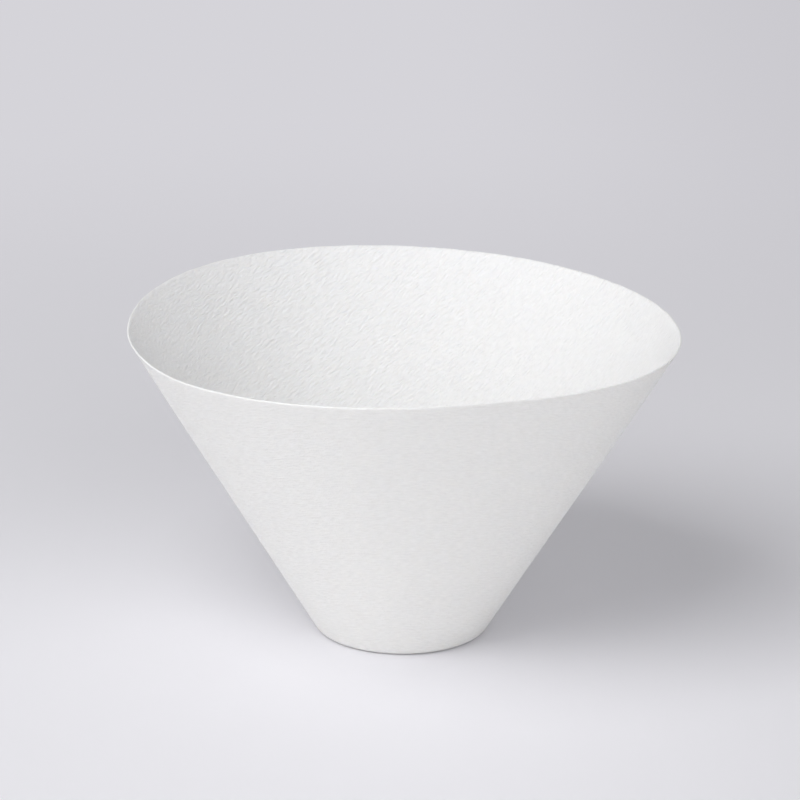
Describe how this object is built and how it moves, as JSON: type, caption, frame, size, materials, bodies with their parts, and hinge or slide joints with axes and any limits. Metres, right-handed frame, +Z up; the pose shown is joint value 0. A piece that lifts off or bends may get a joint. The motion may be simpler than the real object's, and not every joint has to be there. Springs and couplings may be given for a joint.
{
  "type": "paper coffee filter",
  "caption": "White crepe paper coffee filter: a thin straight-walled cone with a flat round base, a soft bend and a cut rim, which lines a dripper and holds ground coffee.",
  "frame": {"origin": "centre of the underside of the flat base", "axes": "+Z up along the cone's axis, -Y towards the side that the picture shows"},
  "size_m": [0.1189, 0.1211, 0.0714],
  "materials": {
    "crepe_paper": "matte crepe"
  },
  "bodies": {
    "root": {"paper_filter": "crepe_paper"}
  },
  "joints": []
}
